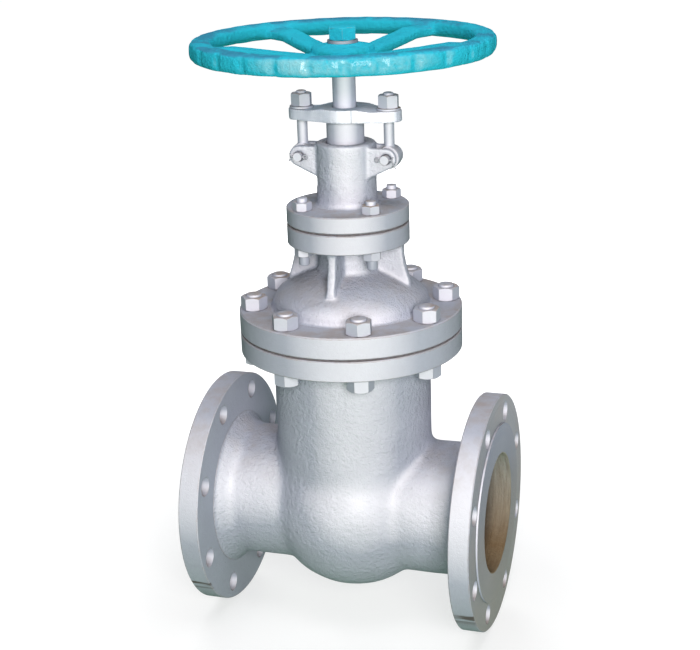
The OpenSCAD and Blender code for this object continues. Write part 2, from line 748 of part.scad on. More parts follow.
// One bent spoke along X, flat near the rim and sloping down to the hub
module spoke() {
    w = spoke_w / 2;
    t = spoke_t / 2;
    rim_in_r = rim_mid_r - rim_w / 2;
    knee = rim_in_r - spoke_flat;
    mid_z = wheel_z - spoke_sink;
    section = [[-w + 3, -t], [w - 3, -t], [w, -t + 3], [w, t - 4], [w - 5, t], [-w + 5, t],
        [-w, t - 4], [-w, -t + 3]];
    run = knee - hub_wheel_d / 2 + 6;
    slope = atan(spoke_drop / run);
    web = curve([rim_in_r - 2 * web_w, w - 1], [rim_in_r - web_w, w - 1], [rim_in_r, w + web_w * 0.3],
        [rim_in_r + 4, w + web_w], 8);
    translate([knee - 1, 0, mid_z]) rotate([90, 0, 90])
        linear_extrude(height = rim_mid_r - knee + 1) polygon(section);
    translate([knee + 1, 0, mid_z]) rotate([0, -90 - slope, 0]) rotate([0, 0, 90])
        linear_extrude(height = run / cos(slope) + 1) polygon(section);
    translate([0, 0, mid_z - t + 2]) linear_extrude(height = spoke_t - 4)
        polygon(concat(web, mirrored(web)));
}

// Outline of the rim: tall outside, flat on top, thinner inside
function rim_profile() =
    let (out = rim_mid_r + rim_w / 2, in = rim_mid_r - rim_w / 2, top = wheel_z + rim_h / 2,
        low = wheel_z - rim_h / 2)
    concat(arc(out - 4, top - 4, 4, 0, 90, 5), arc(in + 4, top - 4, 4, 90, 180, 5),
        arc(in + 6, low + rim_taper + 6, 6, 180, 255, 5), arc(out - 7, low + 7, 7, 285, 360, 5));

module handwheel() color(turquoise) at_stem() {
    hub_r = hub_wheel_d / 2;
    difference() {
        union() {
            difference() {
                turn_stem(rim_profile());
                translate([0, 0, wheel_z - rim_h])
                    around(groove_n, wheel_d / 2 - groove_depth + groove_r, 6)
                    cylinder(r = groove_r, h = 2 * rim_h, $fn = 32);
            }
            for (i = [0:spoke_n - 1]) {
                rotate([0, 0, spoke_turn + 360 * i / spoke_n]) spoke();
            }
            turn_stem([[0, hub_low], [hub_r - 8, hub_low], [hub_r - 2, hub_low + 8],
                [hub_r, hub_top - 7], [hub_r - 3, hub_top - 3], [hub_r * 0.62, hub_top - 2],
                [hub_r * 0.57, hub_top], [0, hub_top]]);
        }
        translate([-square_w / 2 - thread_gap, -square_w / 2 - thread_gap, hub_low - 1])
            cube([square_w + 2 * thread_gap, square_w + 2 * thread_gap, hub_wheel_h + 2]);
    }
}

module wheel_washer() color(silver) at_stem() {
    difference() {
        translate([0, 0, hub_top]) cylinder(d = wheel_nut_af + 5, h = wheel_washer_t, $fn = 64);
        stud_hole(thread_d, hub_top, wheel_washer_t);
    }
}

module wheel_nut() color(turquoise) at_stem() {
    rotate([0, 0, 18]) nut(wheel_nut_af, wheel_nut_h, thread_d, nut_z);
}

valve_body();
inlet_seat_ring();
outlet_seat_ring();
wedge();
stem_nut();
stem();
body_gasket();
bonnet();
bonnet_studs();
bonnet_upper_nuts();
bonnet_lower_nuts();
box_gasket();
stuffing_box();
box_studs();
box_upper_nuts();
box_lower_nuts();
packing();
gland_bush();
gland_plate();
eye_bolts();
hinge_pins();
split_pins();
gland_washers();
gland_nuts();
handwheel();
wheel_washer();
wheel_nut();
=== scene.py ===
"""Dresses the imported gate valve: castings, bolting, gland, handwheel, finishes and studio."""
import math

import bmesh
import bpy
from mathutils import Matrix, Vector, noise


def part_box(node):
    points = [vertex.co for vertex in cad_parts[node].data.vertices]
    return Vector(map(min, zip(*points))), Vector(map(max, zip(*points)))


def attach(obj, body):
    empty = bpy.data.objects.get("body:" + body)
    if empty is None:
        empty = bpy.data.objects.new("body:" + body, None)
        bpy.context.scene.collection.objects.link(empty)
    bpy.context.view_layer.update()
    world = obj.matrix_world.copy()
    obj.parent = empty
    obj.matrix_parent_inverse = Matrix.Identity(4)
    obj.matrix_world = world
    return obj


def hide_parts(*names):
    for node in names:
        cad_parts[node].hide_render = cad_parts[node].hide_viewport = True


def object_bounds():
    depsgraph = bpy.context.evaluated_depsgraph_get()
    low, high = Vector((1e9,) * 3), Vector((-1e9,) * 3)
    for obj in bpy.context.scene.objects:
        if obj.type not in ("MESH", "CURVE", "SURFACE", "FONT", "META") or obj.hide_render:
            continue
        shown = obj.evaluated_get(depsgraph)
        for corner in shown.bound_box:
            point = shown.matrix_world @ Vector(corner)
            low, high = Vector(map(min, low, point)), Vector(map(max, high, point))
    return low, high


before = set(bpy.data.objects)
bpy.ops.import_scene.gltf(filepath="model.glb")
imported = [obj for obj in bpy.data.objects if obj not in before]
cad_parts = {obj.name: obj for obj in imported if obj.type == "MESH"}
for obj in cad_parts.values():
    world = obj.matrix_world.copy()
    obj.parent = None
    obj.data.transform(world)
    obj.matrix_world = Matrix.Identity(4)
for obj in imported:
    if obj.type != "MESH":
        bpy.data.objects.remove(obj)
cad_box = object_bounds()

bl_info = {
    "name": "Gate valve dressing",
    "version": (1, 0, 0),
    "blender": (4, 5, 0),
    "location": "View3D > Sidebar > Gate valve",
    "description": "Builds the castings, bolting, handwheel, finishes and studio of a gate valve",
    "category": "Object",
}

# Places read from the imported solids
BODY_LOW, BODY_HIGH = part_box("valve_body")
WHEEL_LOW, WHEEL_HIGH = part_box("handwheel")
STEM_X = (WHEEL_LOW.x + WHEEL_HIGH.x) / 2
PIN_LOW, PIN_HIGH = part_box("hinge_pins")
PIN_LEVEL = (PIN_LOW.z + PIN_HIGH.z) / 2
COVER_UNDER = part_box("bonnet_lower_nuts")[1].z
DOME_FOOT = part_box("bonnet_upper_nuts")[0].z
NECK_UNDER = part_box("box_lower_nuts")[1].z
BOX_FLANGE_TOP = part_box("box_upper_nuts")[0].z

# Dimensions of the solids that no box gives: depths from a port, and reaches from an axis
FLANGE_BACK = 0.026
RAISED_BACK = 0.0025
PORT_DEPTH = 0.14
BORE_REACH = 0.070
NECK_REACH = 0.079
RAISED_REACH = 0.106
HOLES_REACH = 0.134
FLANGE_REACH = 0.140
CHEST_REACH = 0.092
DOME_REACH = 0.1
BOX_BORE_REACH = 0.024
NUT_THREAD_REACH = 0.0092
GRIP_REACH = 0.15
RIM_TOP_REACH = 0.142

# How much of its casting a crisp flange keeps, and how far the cast skin laps over that root
END_ROOT = 0.0012
COVER_ROOT = 0.001
ROOT = 0.0006
LAP = 0.0004
BLEND = 0.002
SKIN_START = 0.001

# Small shapes
MOUTH_BEVEL = 0.0016
PARTING_X = STEM_X + 0.016
PARTING_Y = -0.008
PARTING_STEP = 0.0007
PIN_LEG_ABOVE = 0.0036
PIN_LEG_LEFT = 0.005
PIN_LEG_RIGHT = 0.02
NUT_SHARP = 14.0
STUD_SHARP = 50.0

# Studio
LAMP_AIM = (STEM_X, 0.0, 0.2)
FLOOR_HALF = 9.0
FLOOR_NEAR, FLOOR_FAR = 0.25, 0.9
GLOW_NEAR, GLOW_FAR = 0.6, 0.98
SHADE_CATCH = 0.42
CAMERA_TURN, CAMERA_RISE, CAMERA_LEAN = 18.524, 18.349, -1.809
CAMERA_PLACE = (0.70412, -1.58443, 0.77393)
CAMERA_LENS = 77.552
CAMERA_FILM = 36.0
WHITE = (1.0, 1.0, 1.0, 1.0)


class ValveSizes(bpy.types.PropertyGroup):
    """Sizes of the fine shapes that are added to the solids."""

    body_grid: bpy.props.FloatProperty(
        name="Body grid", description="Step of the even grid over the body casting",
        default=0.0026, min=0.0015, unit="LENGTH")
    bonnet_grid: bpy.props.FloatProperty(
        name="Bonnet grid", description="Step of the even grid over the bonnet casting",
        default=0.0018, min=0.001, unit="LENGTH")
    box_grid: bpy.props.FloatProperty(
        name="Box grid", description="Step of the even grid over the stuffing box",
        default=0.0014, min=0.001, unit="LENGTH")
    small_grid: bpy.props.FloatProperty(
        name="Gland grid", description="Step of the even grid over gland plate and eye bolts",
        default=0.0010, min=0.0006, unit="LENGTH")
    wheel_grid: bpy.props.FloatProperty(
        name="Wheel grid", description="Step of the even grid over the handwheel",
        default=0.0015, min=0.001, unit="LENGTH")
    casting_wave: bpy.props.FloatProperty(
        name="Casting wave", description="Height of the slow waves on a sand casting",
        default=0.0005, min=0, unit="LENGTH")
    nut_round: bpy.props.FloatProperty(
        name="Nut rounding", description="Rounding of the painted nut edges",
        default=0.0006, min=0.0001, unit="LENGTH")


class ValveColours(bpy.types.PropertyGroup):
    """Colours of the finishes."""

    silver: bpy.props.FloatVectorProperty(
        name="Silver paint", description="Aluminium paint on castings and bolting",
        default=(0.80, 0.777, 0.835), size=3, min=0, max=1, subtype="COLOR")
    # Painted shade and bluish reflection, put on the silver where the eye meets it at a slant
    painted_slant_shade: bpy.props.FloatVectorProperty(
        name="Silver with painted shade at a slant", description="Aluminium paint that the eye meets at a slant",
        default=(0.45, 0.465, 0.545), size=3, min=0, max=1, subtype="COLOR")
    dust: bpy.props.FloatVectorProperty(
        name="Dust", description="Pinkish brown dust that lies on upward faces",
        default=(0.36, 0.29, 0.25), size=3, min=0, max=1, subtype="COLOR")
    rust: bpy.props.FloatVectorProperty(
        name="Rust", description="Rust in the bore and along worn edges",
        default=(0.24, 0.145, 0.07), size=3, min=0, max=1, subtype="COLOR")
    turquoise: bpy.props.FloatVectorProperty(
        name="Wheel paint", description="Thick turquoise paint on the handwheel",
        default=(0.026, 0.46, 0.60), size=3, min=0, max=1, subtype="COLOR")
    # Painted reflection: paler turquoise put where the paint faces the eye
    wheel_painted_sheen: bpy.props.FloatVectorProperty(
        name="Wheel painted sheen", description="Paler turquoise where the paint faces the light",
        default=(0.36, 0.53, 0.54), size=3, min=0, max=1, subtype="COLOR")
    # Dark blue grey put on the upward faces of the wheel, more towards the rim
    rim_top_blue_grey: bpy.props.FloatVectorProperty(
        name="Wheel rim top blue grey", description="Dark blue grey on upward faces, more towards the rim",
        default=(0.055, 0.15, 0.29), size=3, min=0, max=1, subtype="COLOR")
    turned: bpy.props.FloatVectorProperty(
        name="Turned face", description="Bare turned metal on the flange faces",
        default=(0.215, 0.235, 0.27), size=3, min=0, max=1, subtype="COLOR")
    fibre: bpy.props.FloatVectorProperty(
        name="Fibre", description="Gasket and packing fibre",
        default=(0.12, 0.105, 0.11), size=3, min=0, max=1, subtype="COLOR")
    bronze: bpy.props.FloatVectorProperty(
        name="Bronze", description="Stem nut", default=(0.45, 0.28, 0.11), size=3, min=0, max=1,
        subtype="COLOR")
    floor: bpy.props.FloatVectorProperty(
        name="Floor", description="Tint of the light that the floor throws back on the valve",
        default=(0.22, 0.37, 0.24), size=3, min=0, max=1, subtype="COLOR")


def sizes():
    return bpy.context.scene.valve_sizes


def colours():
    return bpy.context.scene.valve_colours


def rgba(colour, shade=1.0):
    return (colour[0] * shade, colour[1] * shade, colour[2] * shade, 1.0)


# Shader helpers

def add(tree, kind, inputs=None, **settings):
    """Adds one shader node, sets it up and joins or fills its inputs."""
    node = tree.nodes.new("ShaderNode" + kind)
    for key, value in settings.items():
        setattr(node, key, value)
    for key, value in (inputs or {}).items():
        if isinstance(value, bpy.types.NodeSocket):
            tree.links.new(value, node.inputs[key])
        else:
            node.inputs[key].default_value = value
    return node


def math_of(tree, operation, first, second=0.0, clamp=False):
    return add(tree, "Math", {0: first, 1: second}, operation=operation, use_clamp=clamp).outputs[0]


def mapped(tree, value, low, high, out_low=0.0, out_high=1.0):
    return add(tree, "MapRange", {"Value": value, "From Min": low, "From Max": high,
                                  "To Min": out_low, "To Max": out_high}).outputs["Result"]


def product(tree, first, second, clamp=False):
    return math_of(tree, "MULTIPLY", first, second, clamp)


def length_of(tree, **parts):
    """Length of the vector that has these parts."""
    flat = add(tree, "CombineXYZ", parts).outputs["Vector"]
    return add(tree, "VectorMath", {0: flat}, operation="LENGTH").outputs["Value"]


def stretched(tree, place, scale):
    return add(tree, "Mapping", {"Vector": place, "Scale": scale}).outputs["Vector"]


def object_place(tree):
    return add(tree, "TexCoord").outputs["Object"]


def split_up(tree, vector):
    return add(tree, "SeparateXYZ", {"Vector": vector}).outputs


def eye_slant(tree):
    """Nought where a surface faces the eye, one where it is seen edge on."""
    return add(tree, "LayerWeight", {"Blend": 0.5}).outputs["Facing"]


def grain(tree, place, scale, detail=3.0, rough=0.55):
    return add(tree, "TexNoise", {"Vector": place, "Scale": scale, "Detail": detail,
                                  "Roughness": rough}).outputs["Fac"]


def blended(tree, mask, first, second):
    """Mixes two colours by a mask."""
    node = add(tree, "Mix", {"Factor": mask}, data_type="RGBA")
    for socket, value in ((node.inputs[6], first), (node.inputs[7], second)):
        if isinstance(value, bpy.types.NodeSocket):
            tree.links.new(value, socket)
        else:
            socket.default_value = value
    return node.outputs[2]


def new_group(name, inputs, outputs):
    tree = bpy.data.node_groups.new(name, "ShaderNodeTree")
    face = tree.interface
    for label, value in inputs:
        socket = face.new_socket(label, in_out="INPUT", socket_type="NodeSocketFloat")
        socket.default_value = value
    for label in outputs:
        face.new_socket(label, in_out="OUTPUT", socket_type="NodeSocketFloat")
    return tree, tree.nodes.new("NodeGroupInput").outputs, tree.nodes.new("NodeGroupOutput").inputs


def cast_grain():
    """Orange peel, lumps and pits of a painted sand casting."""
    if "Cast grain" in bpy.data.node_groups:
        return bpy.data.node_groups["Cast grain"]
    tree, given, out = new_group("Cast grain", [("Peel", 1.0), ("Lumps", 1.0), ("Pits", 1.0)],
                                 ["Height", "Tone"])
    place = object_place(tree)
    peel = grain(tree, place, 700.0, 2.0, 0.5)
    lumps = grain(tree, place, 190.0, 4.0, 0.62)
    broad = grain(tree, place, 14.0, 3.0, 0.5)
    cells = add(tree, "TexVoronoi", {"Vector": place, "Scale": 75.0}).outputs["Distance"]
    pits = mapped(tree, cells, 0.04, 0.16, -1.0, 0.0)
    height = product(tree, peel, given["Peel"])
    height = math_of(tree, "ADD", height, product(tree, lumps, given["Lumps"]))
    height = math_of(tree, "ADD", height, product(tree, pits, given["Pits"]))
    tone = math_of(tree, "ADD", broad, product(tree, lumps, 0.5))
    tree.links.new(height, out["Height"])
    tree.links.new(mapped(tree, tone, 0.4, 1.15), out["Tone"])
    return tree


def settled_dust():
    """Dust that lies where a surface faces up, broken by patches."""
    if "Settled dust" in bpy.data.node_groups:
        return bpy.data.node_groups["Settled dust"]
    tree, given, out = new_group("Settled dust", [("Amount", 1.0)], ["Mask"])
    place = object_place(tree)
    normal = add(tree, "NewGeometry").outputs["Normal"]
    lying = mapped(tree, split_up(tree, normal)["Z"], 0.35, 0.97)
    patches = mapped(tree, grain(tree, place, 30.0, 5.0, 0.65), 0.42, 0.64, 0.12, 1.0)
    mask = product(tree, product(tree, lying, patches), given["Amount"], True)
    tree.links.new(mask, out["Mask"])
    return tree


def edge_wear():
    """Stain along the edges, where the paint is thin."""
    if "Edge wear" in bpy.data.node_groups:
        return bpy.data.node_groups["Edge wear"]
    tree, given, out = new_group("Edge wear", [("Width", 0.0012), ("Amount", 1.0)], ["Mask"])
    place = object_place(tree)
    normal = add(tree, "NewGeometry").outputs["Normal"]
    rounded = add(tree, "Bevel", {"Radius": given["Width"]}, samples=4).outputs["Normal"]
    turned = add(tree, "VectorMath", {0: normal, 1: rounded}, operation="DOT_PRODUCT").outputs
    edge = mapped(tree, turned["Value"], 0.985, 0.90)
    broken = mapped(tree, grain(tree, place, 130.0, 4.0, 0.7), 0.36, 0.62)
    mask = product(tree, product(tree, edge, broken), given["Amount"], True)
    tree.links.new(mask, out["Mask"])
    return tree


def corner_shade_and_soiling():
    """Painted shade and brown soiling in corners and gaps, where light and a brush do not reach."""
    if "Corner shade and soiling" in bpy.data.node_groups:
        return bpy.data.node_groups["Corner shade and soiling"]
    tree, given, out = new_group("Corner shade and soiling", [("Reach", 0.008), ("Amount", 1.0)], ["Mask"])
    place = object_place(tree)
    around = add(tree, "AmbientOcclusion", {"Distance": given["Reach"]}, samples=6).outputs
    hidden = mapped(tree, around["AO"], 0.72, 0.25)
    broken = mapped(tree, grain(tree, place, 90.0, 4.0, 0.65), 0.3, 0.62, 0.35, 1.0)
    mask = product(tree, product(tree, hidden, broken), given["Amount"], True)
    tree.links.new(mask, out["Mask"])
    return tree


def placed_group(tree, group, **values):
    node = tree.nodes.new("ShaderNodeGroup")
    node.node_tree = group
    for key, value in values.items():
        node.inputs[key].default_value = value
    return node.outputs


def new_material(name):
    material = bpy.data.materials.new(name)
    material.use_nodes = True
    tree = material.node_tree
    return material, tree, tree.nodes["Principled BSDF"]


def bump(tree, shader, height, distance):
    node = add(tree, "Bump", {"Height": height, "Distance": distance, "Strength": 1.0})
    tree.links.new(node.outputs["Normal"], shader.inputs["Normal"])


def silver_paint(name, shade, peel, lumps, pits, dust, wear, shade_and_soiling_share, lift, scuff=0.0):
    """Aluminium flake paint with a painted highlight face on, painted bluer shade at a slant and in
    corners; dusty, stained at edges.

    Peel, lumps and pits shape the grain, and lift is its height. Dust, wear, painted corner
    shade with soiling, and scuff are shares.
    """
    if name in bpy.data.materials:
        return bpy.data.materials[name]
    material, tree, shader = new_material(name)
    cast = placed_group(tree, cast_grain(), Peel=peel, Lumps=lumps, Pits=pits)
    dusty = placed_group(tree, settled_dust(), Amount=dust)
    worn = placed_group(tree, edge_wear(), Amount=wear)
    shade_and_soiling_mask = placed_group(tree, corner_shade_and_soiling(), Amount=shade_and_soiling_share)
    # Painted light: full silver where the surface faces the eye, as a highlight, and darker, bluer
    # silver at a slant, as shade
    facing = eye_slant(tree)
    slant = mapped(tree, facing, 0.0, 0.25)
    silver, painted_slant_shade = colours().silver, colours().painted_slant_shade
    bright = blended(tree, cast["Tone"], rgba(silver, 0.94 * shade), rgba(silver, 1.04 * shade))
    dull = blended(tree, cast["Tone"], rgba(painted_slant_shade, 0.9 * shade), rgba(painted_slant_shade, 1.08 * shade))
    colour = blended(tree, slant, bright, dull)
    colour = blended(tree, dusty["Mask"], colour, rgba(colours().dust))
    # Painted shade: dark brown where corners and gaps hide the surface, with brown soiling there
    # too
    colour = blended(tree, shade_and_soiling_mask["Mask"], colour, rgba(colours().dust, 0.45))
    colour = blended(tree, worn["Mask"], colour, rgba(colours().rust, 1.3))
    if scuff:
        place = object_place(tree)
        split = split_up(tree, place)
        reach = length_of(tree, Y=split["Y"], Z=split["Z"])
        band = product(tree, mapped(tree, split["Z"], -0.072, -0.075),
                       mapped(tree, split["Z"], -0.100, -0.080))
        low = product(tree, band, mapped(tree, reach, FLANGE_REACH - 0.004, FLANGE_REACH - 0.001))
        drawn = stretched(tree, place, (12.0, 16.0, 130.0))
        rubbed = mapped(tree, grain(tree, drawn, 1.0, 3.0, 0.6), 0.44, 0.54)
        mask = product(tree, product(tree, low, rubbed), scuff)
        colour = blended(tree, mask, colour, rgba(colours().dust, 0.3))
    tree.links.new(colour, shader.inputs["Base Color"])
    tree.links.new(mapped(tree, cast["Tone"], 0.0, 1.0, 0.52, 0.4), shader.inputs["Roughness"])
    tree.links.new(mapped(tree, facing, 0.02, 0.35, 0.3, 0.0), shader.inputs["Coat Weight"])
    shader.inputs["Coat Roughness"].default_value = 0.32
    shader.inputs["Specular IOR Level"].default_value = 0.0
    bump(tree, shader, cast["Height"], lift)
    return material


def turned_face():
    """Flange face from the lathe: fine rings, blue grey with brown stain, and a painted reflection:
    the raised face darker, bluer towards the top and browner towards the bottom.
    """
    if "Turned flange face" in bpy.data.materials:
        return bpy.data.materials["Turned flange face"]
    material, tree, shader = new_material("Turned flange face")
    place = object_place(tree)
    split = split_up(tree, place)
    reach = length_of(tree, Y=split["Y"], Z=split["Z"])
    rings = math_of(tree, "SINE", product(tree, reach, 5200.0))
    bands = add(tree, "TexNoise", {"W": reach, "Scale": 260.0, "Detail": 4.0},
                noise_dimensions="1D").outputs["Fac"]
    stain = mapped(tree, grain(tree, place, 16.0, 5.0, 0.6), 0.42, 0.72)
    turned = colours().turned
    colour = blended(tree, mapped(tree, bands, 0.3, 0.7), rgba(turned, 0.82), rgba(turned, 1.1))
    colour = blended(tree, product(tree, stain, 0.5), colour, rgba(colours().dust, 0.8))
    # Painted reflection: the raised face is painted darker and bluer towards its top, and the whole
    # face is painted browner green towards the bottom
    raised = mapped(tree, reach, RAISED_REACH + 0.0015, RAISED_REACH - 0.0005)
    colour = blended(tree, product(tree, raised, 0.35), colour, rgba(turned, 0.35))
    high = product(tree, mapped(tree, split["Z"], 0.0, 0.12, 0.0, 0.7), raised)
    colour = blended(tree, high, colour, rgba((0.15, 0.20, 0.31)))
    low = mapped(tree, split["Z"], 0.04, -0.12, 0.0, 0.7)
    colour = blended(tree, low, colour, rgba((0.19, 0.20, 0.14)))
    tree.links.new(colour, shader.inputs["Base Color"])
    shader.inputs["Metallic"].default_value = 0.2
    shader.inputs["Specular IOR Level"].default_value = 0.2
    tree.links.new(mapped(tree, bands, 0.0, 1.0, 0.34, 0.5), shader.inputs["Roughness"])
    bump(tree, shader, math_of(tree, "ADD", rings, bands), 0.00006)
    return material


def rusty_bore():
    """Unpainted casting inside the ports: yellow brown rust, darker low down, with a painted near
    black shadow deeper in.
    """
    if "Rusty bore" in bpy.data.materials:
        return bpy.data.materials["Rusty bore"]
    material, tree, shader = new_material("Rusty bore")
    cast = placed_group(tree, cast_grain(), Peel=1.0, Lumps=1.6, Pits=0.4)
    place = object_place(tree)
    split = split_up(tree, place)
    low = mapped(tree, split["Z"], -0.06, 0.04)
    turned = stretched(tree, place, (420.0, 26.0, 26.0))
    lines = mapped(tree, grain(tree, turned, 1.0, 3.0, 0.6), 0.3, 0.7)
    from_outlet = math_of(tree, "SUBTRACT", BODY_HIGH.x, split["X"])
    inward = math_of(tree, "MINIMUM", split["X"], from_outlet)
    # Painted shadow: the bore turns near black deeper in from each port
    shade = mapped(tree, inward, 0.018, 0.034, 0.0, 0.85)
    rust = colours().rust
    colour = blended(tree, low, rgba(rust, 0.7), rgba((0.40, 0.395, 0.37)))
    colour = blended(tree, product(tree, cast["Tone"], 0.5), colour, rgba((0.40, 0.34, 0.23)))
    colour = blended(tree, product(tree, lines, 0.45), colour, rgba(rust, 0.5))
    colour = blended(tree, shade, colour, rgba((0.012, 0.013, 0.016)))
    tree.links.new(colour, shader.inputs["Base Color"])
    tree.links.new(mapped(tree, cast["Tone"], 0.0, 1.0, 0.9, 0.65), shader.inputs["Roughness"])
    shader.inputs["Specular IOR Level"].default_value = 0.15
    bump(tree, shader, math_of(tree, "ADD", cast["Height"], lines), 0.0007)
    return material


def wheel_paint():
    """Thick glossy turquoise paint over a rough casting, rubbed grey along the edges, with a
    painted reflection where it faces the eye and painted light at a slant.
    """
    if "Turquoise wheel paint" in bpy.data.materials:
        return bpy.data.materials["Turquoise wheel paint"]
    material, tree, shader = new_material("Turquoise wheel paint")
    cast = placed_group(tree, cast_grain(), Peel=0.6, Lumps=2.2, Pits=0.6)
    worn = placed_group(tree, edge_wear(), Width=0.0018, Amount=0.5)
    dusty = placed_group(tree, settled_dust(), Amount=1.7)
    facing = eye_slant(tree)
    split = split_up(tree, object_place(tree))
    reach = length_of(tree, X=math_of(tree, "SUBTRACT", split["X"], STEM_X), Y=split["Y"])
    grip = mapped(tree, reach, GRIP_REACH + 0.002, GRIP_REACH + 0.010)
    # Painted reflection where the grip faces the eye; the same mask also sets the coat
    shine = product(tree, mapped(tree, facing, 0.3, 0.02), mapped(tree, cast["Tone"], 0.2, 0.8))
    shine = product(tree, shine, grip)
    dull = mapped(tree, reach, GRIP_REACH - 0.03, GRIP_REACH, 0.12, 0.65)
    dull = product(tree, dusty["Mask"], dull)
    paint, rim_top_blue_grey = colours().turquoise, colours().rim_top_blue_grey
    colour = blended(tree, cast["Tone"], rgba(paint, 0.88), rgba(paint, 1.06))
    # Painted light: the paint is painted lighter where the eye meets it at a slant
    colour = blended(tree, mapped(tree, facing, 0.15, 0.75, 0.0, 0.7), colour, rgba(paint, 1.25))
    colour = blended(tree, product(tree, shine, 0.75), colour, rgba(colours().wheel_painted_sheen))
    # Darker blue grey on the upward faces, more towards the rim
    colour = blended(tree, dull, colour, rgba(rim_top_blue_grey))
    colour = blended(tree, worn["Mask"], colour, rgba(colours().dust, 0.8))
    tree.links.new(colour, shader.inputs["Base Color"])
    tree.links.new(mapped(tree, cast["Tone"], 0.0, 1.0, 0.4, 0.26), shader.inputs["Roughness"])
    tree.links.new(mapped(tree, shine, 0.0, 0.6, 0.0, 0.6), shader.inputs["Coat Weight"])
    shader.inputs["Specular IOR Level"].default_value = 0.0
    shader.inputs["Coat Roughness"].default_value = 0.1
    bump(tree, shader, cast["Height"], 0.001)
    return material


def fibre_edge():
    """Pressed gasket fibre: dark brown with paler threads."""
    if "Gasket fibre" in bpy.data.materials:
        return bpy.data.materials["Gasket fibre"]
    material, tree, shader = new_material("Gasket fibre")
    place = object_place(tree)
    drawn = stretched(tree, place, (1.0, 1.0, 5.0))
    threads = mapped(tree, grain(tree, drawn, 260.0, 4.0, 0.7), 0.35, 0.7)
    fibre = colours().fibre
    colour = blended(tree, threads, rgba(fibre, 0.8), rgba(fibre, 2.2))
    tree.links.new(colour, shader.inputs["Base Color"])
    tree.links.new(mapped(tree, threads, 0.0, 1.0, 0.95, 0.8), shader.inputs["Roughness"])
    bump(tree, shader, threads, 0.0004)
    return material


def bare_metal(name, colour, stain):
    """Bare metal with turning marks and a little stain, for the inner pieces."""
    if name in bpy.data.materials:
        return bpy.data.materials[name]
    material, tree, shader = new_material(name)
    place = object_place(tree)
    lines = grain(tree, stretched(tree, place, (1.0, 1.0, 14.0)), 180.0, 3.0, 0.6)
    patches = mapped(tree, grain(tree, place, 45.0, 5.0, 0.65), 0.45, 0.75)
    shades = blended(tree, lines, rgba(colour, 0.8), rgba(colour, 1.12))
    shades = blended(tree, product(tree, patches, stain), shades, rgba(colours().rust))
    tree.links.new(shades, shader.inputs["Base Color"])
    shader.inputs["Metallic"].default_value = 0.85
    tree.links.new(mapped(tree, lines, 0.0, 1.0, 0.3, 0.48), shader.inputs["Roughness"])
    bump(tree, shader, lines, 0.0002)
    return material


def casting_paint():
    return silver_paint("Silver paint on casting", shade=1.0, peel=0.4, lumps=1.0, pits=0.2,
                        dust=0.4, wear=0.15, shade_and_soiling_share=0.3, lift=0.0026)


def rim_paint():
    return silver_paint("Silver paint on turned rims", shade=0.93, peel=0.4, lumps=0.5, pits=0.2,
                        dust=0.6, wear=0.75, shade_and_soiling_share=0.3, lift=0.0009, scuff=0.9)


def lightened_stem_paint():
    # Painted light: a lighter copy of the silver, which paints out the shadow that the wheel throws
    # on the stem
    return silver_paint("Silver paint on stem", shade=1.18, peel=0.3, lumps=0.4, pits=0.1,
                        dust=0.5, wear=0.2, shade_and_soiling_share=0.4, lift=0.0004)


def hole_paint():
    return silver_paint("Silver paint in bolt holes", shade=1.05, peel=0.3, lumps=0.4, pits=0.1,
                        dust=0.9, wear=0.0, shade_and_soiling_share=0.0, lift=0.0004)


def bolt_paint():
    return silver_paint("Silver paint on bolting", shade=0.98, peel=0.35, lumps=0.4, pits=0.1,
                        dust=1.1, wear=0.35, shade_and_soiling_share=0.4, lift=0.0005)


def gland_paint():
    return silver_paint("Silver paint on gland plate", shade=1.18, peel=0.5, lumps=0.9, pits=0.4,
                        dust=0.4, wear=0.3, shade_and_soiling_share=0.4, lift=0.001)


def wire_paint():
    return silver_paint("Silver paint on wire", shade=0.6, peel=0.3, lumps=0.3, pits=0.1,
                        dust=0.5, wear=0.0, shade_and_soiling_share=0.4, lift=0.0003)


# Mesh helpers

def from_nodes(*names):
    """A merged copy of the solids with these names."""
    bm = bmesh.new()
    for name in names:
        bm.from_mesh(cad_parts[name].data)
    bmesh.ops.remove_doubles(bm, verts=bm.verts, dist=0.00001)
    return bm


def even_grid(bm, step):
    """Gives the closed shapes in bm one even skin, in which they run together."""
    mesh = bpy.data.meshes.new("skin")
    bm.to_mesh(mesh)
    bm.free()
    obj = bpy.data.objects.new("skin", mesh)
    bpy.context.scene.collection.objects.link(obj)
    skin = obj.modifiers.new("Even grid", "REMESH")
    skin.mode = "VOXEL"
    skin.voxel_size = step
    graph = bpy.context.evaluated_depsgraph_get()
    result = bmesh.new()
    result.from_object(obj, graph)
    bpy.data.objects.remove(obj)
    bpy.data.meshes.remove(mesh)
    return result


def soften(bm, near, rounds):
    """Rounds the edges and hollows of the points for which near is true."""
    chosen = [v for v in bm.verts if near(v.co)]
    for _ in range(rounds):
        bmesh.ops.smooth_vert(bm, verts=chosen, factor=0.5, use_axis_x=True, use_axis_y=True,
                              use_axis_z=True)


def wavy(bm, height, reach, cast):
    """Sinks the cast skin a little here and there, as sand moulds leave it."""
    bm.normal_update()
    for v in bm.verts:
        if cast(v.co):
            v.co += v.normal * height * (noise.noise(v.co / reach) - 0.5)


def cut(bm, place, outwards):
    """Cuts away what lies beyond a plane and closes the cut."""
    geom = bm.verts[:] + bm.edges[:] + bm.faces[:]
    found = bmesh.ops.bisect_plane(bm, geom=geom, dist=0.000001, plane_co=place, plane_no=outwards,
                                   clear_outer=True)["geom_cut"]
    rim = [e for e in found if isinstance(e, bmesh.types.BMEdge)]
    bmesh.ops.triangle_fill(bm, edges=rim, use_beauty=True, normal=outwards)


